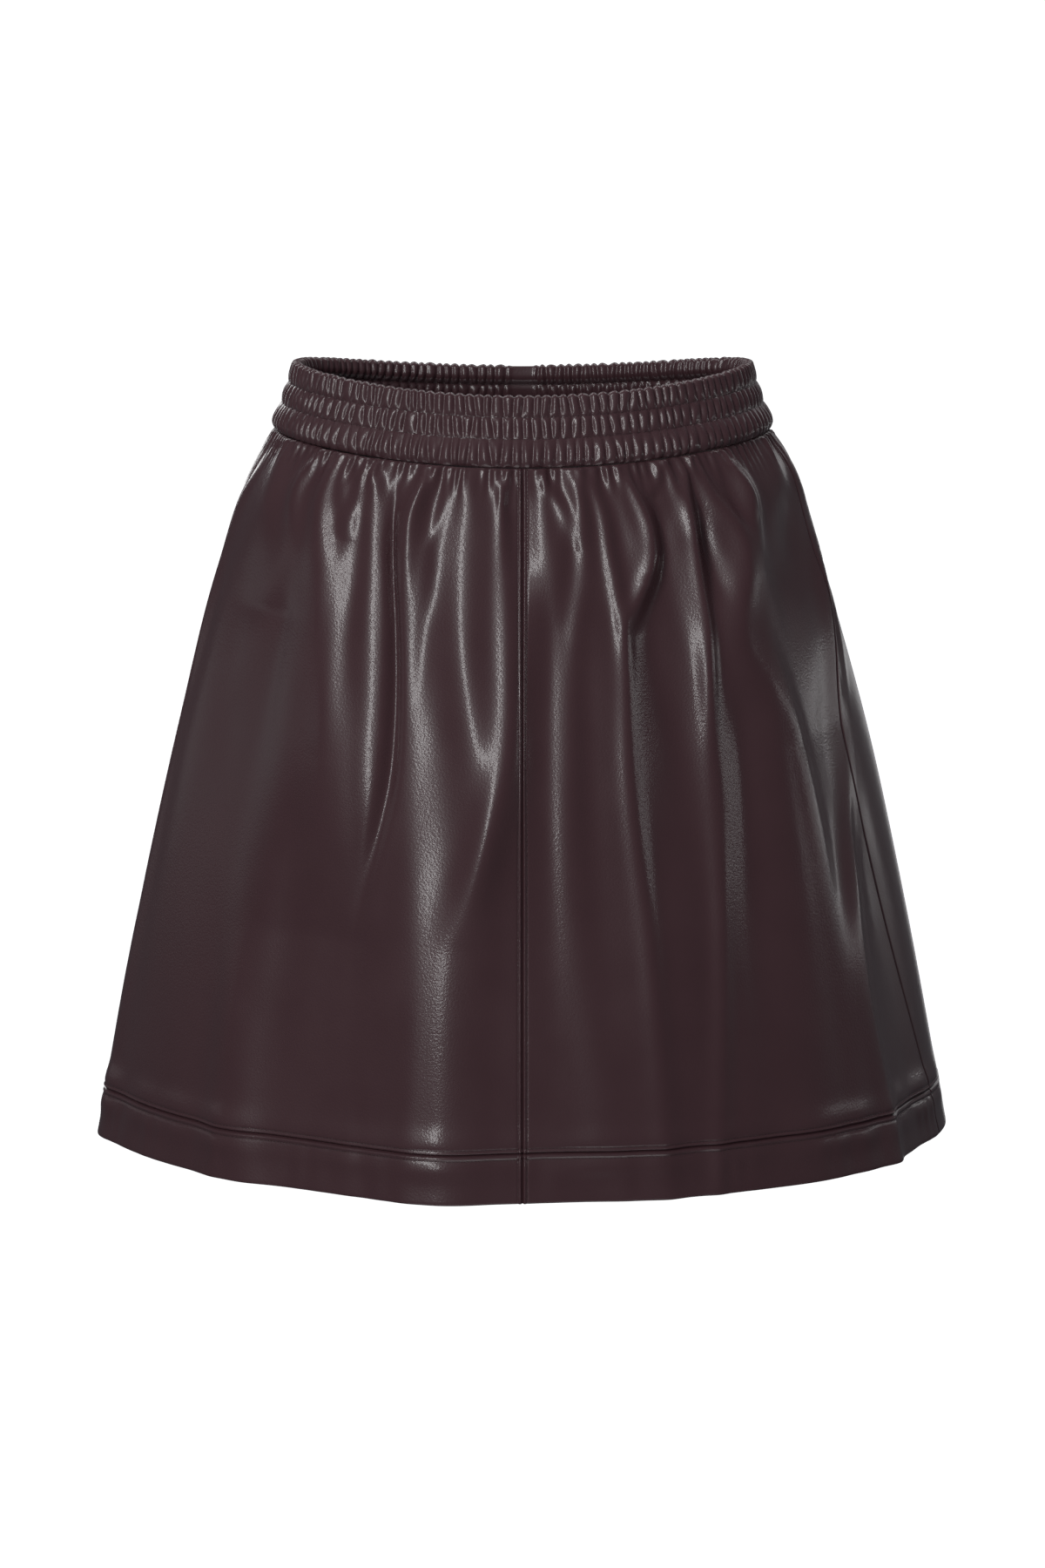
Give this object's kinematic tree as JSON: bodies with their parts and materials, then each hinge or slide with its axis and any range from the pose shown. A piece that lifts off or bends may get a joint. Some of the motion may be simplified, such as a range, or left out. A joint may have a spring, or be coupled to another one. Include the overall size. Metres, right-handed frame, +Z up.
{
  "type": "leather skirt",
  "caption": "Short A-line leather skirt in worn, hollow form, with a gathered elastic waistband, gathered front and back panels and a deep stitched hem band.",
  "frame": {"origin": "middle of the waist, at half the height of the waistband, where the wearer's waist holds the skirt up", "axes": "+Z up, the front of the skirt faces -Y, +X is the wearer's left side"},
  "size_m": [0.4894, 0.3402, 0.4428],
  "materials": {
    "leather": "smooth dark aubergine-brown faux leather with a fine pebble grain and a soft gloss"
  },
  "bodies": {
    "root": {"waistband": "leather", "front_right_panel": "leather", "front_left_panel": "leather", "back_panel": "leather", "hem_band_front_right": "leather", "hem_band_front_left": "leather", "hem_band_back": "leather"}
  },
  "joints": []
}
